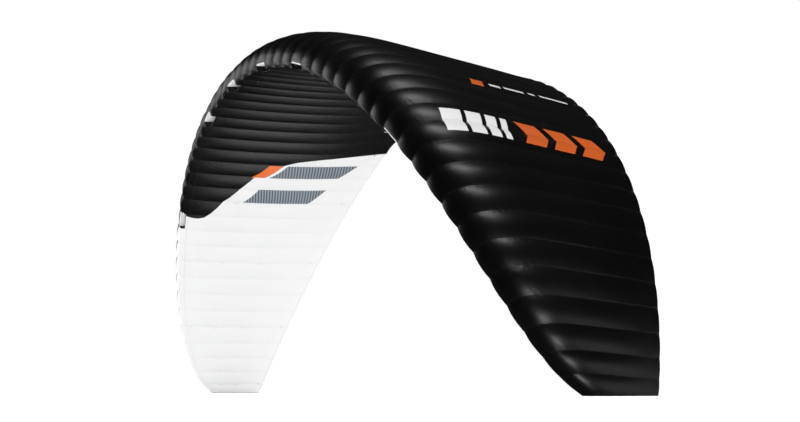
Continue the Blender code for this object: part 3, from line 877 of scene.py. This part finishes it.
SLIDER_METAL = make_hard_material("slider_metal", (0.30, 0.31, 0.32, 1), 1.0, 0.28, 0.42)


# ---------------------------------------------------------------- skins

def nodes_named(start):
    """CAD nodes whose names start so."""
    return sorted(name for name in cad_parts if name.startswith(start))


def cell_places(fractions, first=0, last=CELLS):
    """Rib places from one rib to another, each cell split at the same fractions."""
    return np.append((np.arange(first, last)[:, None] + fractions[None, :]).ravel(), float(last))


def in_mouth(place):
    """Whether a place lies between the two ribs of an intake cell."""
    cell, part = split_place(place)
    return np.isin(cell, INTAKES) & (part > 0)


def declare_skin(piece, outer):
    """A skin is sewn from cut panels, so its flat area is that of its surface; here that area is only
    worked out, and not kept.
    """
    surface_area(outer)


def make_skins():
    """Both skins, each one sheet of 51 billowed cells from nose to trailing edge.

    The lower skin's rows start at the chin, or in an intake cell behind the mouth. Nothing mirrors
    the lower skin, because its white ends would lie as a grey haze on the black cloth between them.
    """
    fractions = np.linspace(0, 1, 9)[:-1]
    place, share = np.meshgrid(cell_places(fractions), np.linspace(0, 1, 57) ** 2, indexing="ij")
    mesh, outer = cloth_shell("upper_skin", upper_cloth, place, share, len(fractions))
    point_value(mesh, "valve_root", np.where(in_mouth(place), VALVE_ROOT_SHARE, 0) - share)
    declare_skin(add_piece(mesh, UPPER_CLOTH, "canopy", nodes_named("upper_skin")), outer)
    fractions = np.array([0, 0.02, 0.13, 0.26, 0.42, 0.58, 0.74, 0.87, 0.98])
    rows = np.concatenate([np.linspace(0, MOUTH_BLEND_SHARE, 5),
                           np.linspace(MOUTH_BLEND_SHARE, 1, 31)[1:]])
    place, share = np.meshgrid(cell_places(fractions), rows, indexing="ij")
    cut = np.where(in_mouth(place), MOUTH_REACH_SHARE, 0)
    share = share + cut * np.clip(1 - share / MOUTH_BLEND_SHARE, 0, 1)
    mesh, outer = cloth_shell("lower_skin", lower_cloth, place, share, len(fractions))
    point_value(mesh, "white_reach", white_reach(place, share))
    lower = add_piece(mesh, LOWER_CLOTH, "canopy", nodes_named("lower_skin"))
    declare_skin(lower, outer)
    lower.visible_glossy = False


def strip_drop(place):
    """Height of the strip between crease and chin."""
    return CHIN_DROP_SHARE * between_ribs(CHORD, *split_place(place))


def strip_point(place, depth, behind):
    """The strip between crease and chin: a straight slant of both rib planes, moved back.

    It swells forwards with the crease, and by a parabola between crease and chin.
    """
    cell, part = split_place(place)
    share = depth / strip_drop(place)
    ends = [plane_point(rib, share * CHIN_BACK_SHARE * CHORD[rib] + behind,
                        -share * CHIN_DROP_SHARE * CHORD[rib]) for rib in (cell, cell + 1)]
    crease = UPPER_BILLOW_SHARE * arch(cell, part) * upper_profile(0.0, cell)
    share = np.clip(share, 0, 1)
    forward = crease * (1 - share) * (1 + STRIP_BULGE * share)
    return blend(*ends, part) - forward[..., None] * BACK


def make_nose_strip():
    """The strip under the crease, in the seven lengths that the mouths leave between them."""
    fractions = (1 - np.cos(math.pi * np.arange(16) / 16)) / 2
    shells, seats, metres, reach = [], [], [], []
    area, run_on = 0.0, 0.0
    for first, last in zip(np.append(0, INTAKES + 1), np.append(INTAKES, CELLS)):
        places = cell_places(fractions, first, last)
        depth = GAP + (strip_drop(places) - GAP)[:, None] * np.linspace(0, 1, 6)
        place = np.broadcast_to(places[:, None], depth.shape)
        outer, inner = strip_point(place, depth, 0.0), strip_point(place, depth, SKIN)
        shells.append((np.concatenate([outer, inner]).reshape(-1, 3), shell_quads(*depth.shape)))
        run = run_on + path_length(outer, 0)
        run_on = float(run[-1, -1])
        area += surface_area(outer)
        seats += [np.stack([place, depth], axis=-1).reshape(-1, 2)] * 2
        metres += [np.stack([run, depth], axis=-1).reshape(-1, 2)] * 2
        reach += [(STRIP_WHITE_CELLS - np.minimum(place, CELLS - place)).ravel()] * 2
    mesh = fill_mesh("nose_strip", *gather(shells))
    point_value(mesh, "white_reach", np.concatenate(reach))
    point_map(mesh, "place", np.concatenate(seats))
    point_map(mesh, "metres", np.concatenate(metres))
    strip = add_piece(mesh, STRIP_CLOTH, "canopy", nodes_named("nose_strip"))


def make_intake_hems():
    """The rolled hem of the lower skin behind each mouth: a small round carried across the cell."""
    hems = []
    for number in INTAKES:
        along = number + np.linspace(0.025, 0.975, 33)
        path = lower_cloth(along, np.full(33, MOUTH_REACH_SHARE), SKIN / 2)
        side = np.broadcast_to(BACK, path.shape)
        up = unit(np.cross(side, unit(np.gradient(path, axis=0))))
        hems.append(carried(path, side, up, round_profile(*HEM_HALF_SIZE, 8)))
    points, quads = gather(hems)
    mesh = fill_mesh("intake_hems", points, quads)
    point_map(mesh, "metres", points[:, [0, 2]])
    add_piece(mesh, HEM_TAPE, "canopy")


def make_edge_binding():
    """The folded tape along the trailing edge: a rounded flat profile carried from tip to tip."""
    places = np.linspace(0, CELLS, CELLS * 8 + 1)
    cell, part = split_place(places)
    profile = round_profile(EDGE_TAPE_WIDTH / 2, EDGE_HALF, 16, 5.0)
    rings = []
    for rib in (cell, cell + 1):
        middle = CHORD[rib] + GAP + EDGE_TAPE_WIDTH / 2
        rings.append(plane_point(rib[:, None], middle[:, None] + profile[None, :, 0],
                                 np.broadcast_to(profile[None, :, 1], (len(rib), len(profile)))))
    rise = arch(cell, part) * scallop(1.0)
    points = rings[0] + (rings[1] - rings[0]) * part[:, None, None]
    points += (unit(blend(UP[cell], UP[cell + 1], part)) * rise[:, None])[:, None]
    mesh = fill_mesh("trailing_edge_tape", points, rod_quads(*points.shape[:2]))
    run = path_length(points, 0)
    across = np.broadcast_to(profile[None, :, 0] + EDGE_TAPE_WIDTH / 2, run.shape)
    point_map(mesh, "metres", np.stack([run, across], axis=-1))
    point_value(mesh, "white_reach", white_reach(np.broadcast_to(places[:, None], run.shape), 1.0))
    add_piece(mesh, EDGE_TAPE, "canopy", nodes_named("trailing_edge_tape"))


# ---------------------------------------------------------------- ribs and tabs

def half_plate(rib, start, end, port_share):
    """Half of a rib with a round port: rings that pass from the port's circle to the outline."""
    chord = CHORD[rib]
    share = np.linspace(0, 1, 15)
    lower = np.stack(lower_edge(chord, start + (end - start) * share, SKIN + GAP), axis=-1)
    up_share = (start + (end - start) * share ** 1.6)[::-1]
    upper = np.stack(upper_edge(chord, up_share, SKIN + 4 * GAP)[:2], axis=-1)
    part = np.linspace(0, 1, 7)[1:-1, None]
    outline = np.concatenate([lower, lower[-1] + (upper[0] - lower[-1]) * part, upper,
                              upper[-1] + (lower[0] - upper[-1]) * part])
    top = upper_height(chord, port_share)
    bottom = lower_edge(chord, np.float64(port_share), 0)[1]
    centre = np.array([chord * port_share, (top + bottom) / 2])
    circle = centre + unit(outline - centre) * PORT_HEIGHT_SHARE * (top - bottom)
    rings = circle + (outline - circle) * np.linspace(0, 1, 4)[:, None, None]
    sides = [plane_point(rib, rings[..., 0], rings[..., 1]) + ACROSS[rib] * shift
             for shift in (-RIB / 2, RIB / 2)]
    return np.concatenate(sides).reshape(-1, 3), pierced_quads(*rings.shape[:2])


def make_ribs():
    """The inner ribs: cloth plates with two round ports each, in two pieces."""
    plain = np.setdiff1d(np.arange(1, CELLS), LOAD_RIBS)
    middle = sum(PORT_SHARES) / 2
    halves = (0.002, middle, PORT_SHARES[0]), (middle, 1.0, PORT_SHARES[1])
    for name, ribs, nodes in (("plain_ribs", plain, ()), ("load_ribs", LOAD_RIBS, nodes_named("load_rib"))):
        mesh = fill_mesh(name, *gather([half_plate(rib, *half) for rib in ribs for half in halves]))
        piece = add_piece(mesh, RIB_CLOTH, "canopy", nodes)
        size = float(RIB_HEIGHT_SHARE * CHORD[ribs].sum()), float(CHORD[ribs].max())
        float(RIB_AREA_SHARE * (CHORD[ribs] ** 2).sum())


def make_tip_ribs():
    """The closed end ribs, flat on the ground: a ruled grid from the lower to the upper edge."""
    share = np.linspace(0, 1, 41) ** 2
    high = np.linspace(0, 1, 5)
    for name, rib, side in (("left", 0, -1), ("right", CELLS, 1)):
        low_back, low_height = lower_edge(CHORD[rib], share, 0.0)
        up_back, up_height = upper_edge(CHORD[rib], share, 0.0)[:2]
        low_back = np.where(share == 0, CHIN_BACK_SHARE * CHORD[rib], low_back)
        back = low_back[:, None] + (up_back - low_back)[:, None] * high
        height = low_height[:, None] + (up_height - low_height)[:, None] * high
        grids = [plane_point(rib, back, height) + ACROSS[rib] * side * shift
                 for shift in (GAP, GAP + RIB)]
        mesh = fill_mesh("tip_panel_" + name, np.concatenate(grids), shell_quads(*back.shape))
        add_piece(mesh, TIP_CLOTH, "canopy", ["tip_rib_" + name])


def make_line_tabs():
    """The webbing loops under the load ribs: a flat band carried down, round and up again."""
    turn = np.linspace(-0.12, 1.12, 21) * math.pi
    bend = np.sign(np.sin(turn)) * abs(np.sin(turn)) ** 0.7
    half_width, half_thick = BAND_HALF_SIZE
    profile = round_profile(half_width, half_thick, BAND_SIDES, 4.0)
    loops, reach = [], []
    for rib in LOAD_RIBS:
        for share in TAB_ROW_SHARES:
            middle, _ = lower_edge(CHORD[rib], np.float64(share), 0.0)
            ends = middle + np.array([-TAB_WIDTH / 2, TAB_WIDTH / 2])
            flat_share = (ends - CHIN_BACK_SHARE * CHORD[rib] - SKIN - GAP) / (
                CHORD[rib] * (1 - CHIN_BACK_SHARE))
            head = lower_edge(CHORD[rib], flat_share, 0.0)[1].min()
            path = plane_point(rib, middle - (TAB_WIDTH / 2 - TAB_INSET) * np.cos(turn),
                               head - (TAB_HEIGHT - half_thick) * bend)
            side = np.broadcast_to(ACROSS[rib], path.shape)
            up = unit(np.cross(unit(np.gradient(path, axis=0)), side))
            loops.append(carried(path, side, up, profile))
            reach.append(np.full(len(turn) * BAND_SIDES, white_reach(np.float64(rib), share)))
    points, quads = gather(loops)
    mesh = fill_mesh("line_tabs", points, quads)
    point_value(mesh, "white_reach", np.concatenate(reach))
    point_map(mesh, "metres", np.stack([points[:, 2], points[:, 1] % 0.006], axis=-1))
    add_piece(mesh, TAB_TAPE, "canopy")


# ---------------------------------------------------------------- valves and zip

def make_valves():
    """The six flaps: a grid from the hinge back, a little lifted and arched towards its free end."""
    across, back = np.meshgrid(np.linspace(0, 1, 13), np.linspace(0, 1, 11), indexing="ij")
    lift = FLAP_LIFT * back ** 2 + FLAP_ARCH * np.sin(math.pi * across) * back
    for number, cell in enumerate(INTAKES, 1):
        left, right = (plane_point(rib, np.zeros(1), np.full(1, -GAP))[0] for rib in (cell, cell + 1))
        along = unit(right - left)
        down = unit(np.cross(BACK, along))
        inset = (RIB / 2 + VALVE_SIDE_GAP) / np.linalg.norm(np.cross(along, BACK))
        length = VALVE_LENGTH_SHARE * (CHORD[cell] + CHORD[cell + 1]) / 2
        start, end = left + along * inset, right - along * inset
        width = np.linalg.norm(end - start)
        run = back * (length - FLAP_CORNER * abs(2 * across - 1) ** 8)
        flat = start + along * (across * width)[..., None] + BACK * run[..., None]
        upper = flat - down * lift[..., None]
        mesh = fill_mesh("valve_flap_%d" % number, np.concatenate([upper, upper + down * VALVE_CLOTH]),
                         shell_quads(*across.shape))
        piece = add_piece(mesh, VALVE_WHITE, "valve_%d" % number, ["intake_valve_%d" % number])
        surface_area(upper)


def zip_axes():
    """Middle of the zip right under the cloth, and the ways back and down from it."""
    place = np.full(2, MIDDLE_CELL + 1 / 3)
    front, middle = lower_cloth(place, np.array([TAIL_START_SHARE, ZIP_SHARE]), 0.0)
    front[0] = middle[0] = 0.0
    back = unit(middle - front)
    return middle, back, np.cross(back, [1.0, 0.0, 0.0])


ZIP_MIDDLE, ZIP_BACK, ZIP_DOWN = zip_axes()


def zip_points(across, behind, below):
    """Points of the zip from distances along, behind and below its middle."""
    return (ZIP_MIDDLE + across[..., None] * np.array([1.0, 0, 0]) + behind[..., None] * ZIP_BACK
            + below[..., None] * ZIP_DOWN)


def zip_bar(start, end, size, power, seat, rings=2, taper=0.0):
    """A rounded profile run along the zip, a little slimmer at both ends.

    Its size is half its width, half its height and its number of sides, and its seat is how far it
    lies behind and below the zip's middle.
    """
    profile = round_profile(*size, power) + np.array(seat)
    run = np.linspace(0, 1, rings)
    slim = 1 - taper * abs(2 * run - 1) ** 6
    centre = profile.mean(axis=0)
    rows = centre + (profile - centre) * slim[:, None, None]
    across = np.broadcast_to((start + (end - start) * run)[:, None], rows.shape[:2])
    points = zip_points(across, rows[..., 0], rows[..., 1])
    return points.reshape(-1, 3), rod_quads(*points.shape[:2])


def make_zip():
    """Zip tape, coil of small teeth with its end stops, slider, and the puller with its hole."""
    half = ZIP_LENGTH / 2
    tape_foot = GAP + ZIP_TAPE
    points, quads = zip_bar(-half, half, (ZIP_TAPE_WIDTH / 2, ZIP_TAPE / 2, 12), 6.0,
                            (0, GAP + ZIP_TAPE / 2), 13)
    mesh = fill_mesh("zip_tape_cloth", points, quads)
    behind = (points - ZIP_MIDDLE) @ ZIP_BACK
    point_map(mesh, "metres", np.stack([points[:, 0], abs(behind) - 0.004], axis=-1))
    add_piece(mesh, ZIP_CLOTH, "canopy", ["zip_tape"])
    teeth = []
    for number in range(int((ZIP_LENGTH - 2 * STOP_LENGTH) / TOOTH_PITCH)):
        start = -half + STOP_LENGTH + number * TOOTH_PITCH
        teeth.append(zip_bar(start, start + TOOTH_FILL * TOOTH_PITCH,
                             (COIL_WIDTH / 2 - TOOTH_LEAN, COIL_HEIGHT / 2, 8), 3.0,
                             (TOOTH_LEAN * (-1) ** number, tape_foot + COIL_HEIGHT / 2)))
    for start in (-half, half - STOP_LENGTH):
        teeth.append(zip_bar(start, start + STOP_FILL * STOP_LENGTH,
                             (COIL_WIDTH / 2, COIL_HEIGHT / 2, 8), 6.0,
                             (0, tape_foot + COIL_HEIGHT / 2), 4, 0.1))
    add_piece(fill_mesh("zip_coil", *gather(teeth)), ZIP_PLASTIC, "canopy")
    start = half - STOP_LENGTH - GAP - SLIDER_LENGTH
    end = start + SLIDER_LENGTH
    outer = COIL_WIDTH / 2 + GAP + SLIDER_WALL
    roof = tape_foot + COIL_HEIGHT + GAP
    wall_high = (roof + SLIDER_WALL - tape_foot - GAP) / 2
    parts = [zip_bar(start, end, (outer, SLIDER_WALL / 2, 12), 5.0, (0, roof + SLIDER_WALL / 2), 9, 0.18)]
    for side in (-1, 1):
        parts.append(zip_bar(start + 0.001, end - 0.001, (SLIDER_WALL / 2, wall_high, 8), 4.0,
                             (side * (outer - SLIDER_WALL / 2), tape_foot + GAP + wall_high), 5, 0.1))
    add_piece(fill_mesh("zip_slider_body", *gather(parts)), SLIDER_METAL, "zip_runner", ["zip_slider"])
    puller = puller_mesh(start - PULLER_LENGTH + SLIDER_LENGTH, end, roof + SLIDER_WALL + GAP)
    add_piece(puller, SLIDER_METAL, "zip_runner", ["zip_puller"])


def puller_mesh(start, end, top):
    """A flat plate with a round hole near its end: rings that pass from the hole to the outline."""
    turn = 2 * math.pi * np.arange(40) / 40
    half = (end - start) / 2
    wide, deep = np.cos(turn), np.sin(turn)
    waist = 1 - PULLER_WAIST * np.cos(math.pi * (wide + PULLER_WAIST_PLACE)) ** 2
    outline = np.stack([half * np.sign(wide) * abs(wide) ** PULLER_CORNER_POWER,
                        PULLER_WIDTH / 2 * waist * np.sign(deep)
                        * abs(deep) ** PULLER_CORNER_POWER], axis=-1)
    centre = np.array([-half + PULLER_WIDTH / 2 + PULLER_EDGE, 0.0])
    circle = centre + unit(outline - centre) * PULLER_WIDTH * PULLER_HOLE_SHARE
    rings = circle + (outline - circle) * np.linspace(0, 1, 5)[:, None, None]
    across = rings[..., 0] + (start + end) / 2
    layers = [zip_points(across, rings[..., 1], np.full(across.shape, top + depth))
              for depth in (0.0, PULLER_THICKNESS)]
    return fill_mesh("zip_puller_plate", np.concatenate(layers), pierced_quads(*across.shape))


make_skins()
make_nose_strip()
make_intake_hems()
make_edge_binding()
make_ribs()
make_tip_ribs()
make_line_tabs()
make_valves()
make_zip()


# ---------------------------------------------------------------- floor, light and camera

def make_floor():
    """A wide pale floor that reads white to the camera and keeps the kite's shadow.

    The black cloth mirrors it as the dim floor of a dark studio.
    """
    corners = [(-1, -1), (1, -1), (1, 1), (-1, 1)]
    mesh = bpy.data.meshes.new("floor")
    mesh.from_pydata([(x * FLOOR_HALF, y * FLOOR_HALF, 0) for x, y in corners], [], [(0, 1, 2, 3)])
    material, wires, shader = plain_material("floor_paper", 0.9, 0.1)
    shader.inputs["Base Color"].default_value = (0.82, 0.82, 0.82, 1)
    shader.inputs["Emission Color"].default_value = (1, 1, 1, 1)
    path = wires.signals(wires.node("ShaderNodeLightPath"))
    seen = wires.math("MAXIMUM", path["Is Camera Ray"], path["Is Transmission Ray"])
    wires.set(shader.inputs["Emission Strength"], seen * FLOOR_FILL)
    dim = wires.node("ShaderNodeEmission")
    dim.inputs["Strength"].default_value = DARK_FLOOR
    mixed = wires.node("ShaderNodeMixShader")
    for socket, value in zip(mixed.inputs, (path["Is Glossy Ray"], Signal(wires, shader.outputs[0]),
                                            Signal(wires, dim.outputs[0]))):
        wires.set(socket, value)
    surface = material.node_tree.nodes["Material Output"].inputs["Surface"]
    wires.set(surface, Signal(wires, mixed.outputs[0]))
    mesh.materials.append(material)
    floor = bpy.data.objects.new("floor", mesh)
    bpy.context.collection.objects.link(floor)


def make_world():
    """A studio: even light on the cloth, a dark room in its reflections, white behind the kite."""
    world = bpy.data.worlds.new("studio")
    bpy.context.scene.world = world
    world.use_nodes = True
    wires = Wiring(world.node_tree)
    shade = world.node_tree.nodes["Background"]
    shade.inputs["Color"].default_value = (1, 1, 1, 1)
    path = wires.signals(wires.node("ShaderNodeLightPath"))
    seen = wires.math("MAXIMUM", path["Is Camera Ray"], path["Is Transmission Ray"])
    room = path["Is Glossy Ray"] * (DARK_ROOM - EVEN_LIGHT) + EVEN_LIGHT
    wires.set(shade.inputs["Strength"], seen + (1.0 - seen) * room)


def stand(name, data, place, axes):
    """Put a lamp or camera at its place, turned so that its own axes lie along the given ones."""
    thing = bpy.data.objects.new(name, data)
    bpy.context.collection.objects.link(thing)
    rows = [[*axis, value] for axis, value in zip(np.stack(axes, axis=-1).tolist(), place)]
    thing.matrix_world = Matrix(rows + [[0, 0, 0, 1]])
    return thing


def add_lamp(name, place, target, size, power):
    """A soft lamp that faces a target. It shows only in the gloss of the cloth."""
    light = bpy.data.lights.new(name, "AREA")
    light.shape = "RECTANGLE"
    light.size, light.size_y = size
    light.energy = power
    way = unit(np.array(place) - np.array(target))
    side = unit(np.cross([0.0, 0.0, 1.0], way))
    stand(name, light, place, (side, np.cross(way, side), way)).visible_diffuse = False


def make_camera():
    """The photograph's view: from the front right, near the floor, a little upwards."""
    camera = bpy.data.cameras.new("camera")
    camera.lens = LENS
    camera.sensor_width = 36.0
    way = unit(np.array(CAMERA_WAY))
    side = unit(np.cross(way, [0.0, 0.0, 1.0]))
    bpy.context.scene.camera = stand("camera", camera, CAMERA_PLACE, (side, np.cross(side, way), -way))


make_floor()
make_world()
for lamp in LAMPS:
    add_lamp(*lamp)
make_camera()
bpy.context.scene.view_settings.view_transform = "Standard"
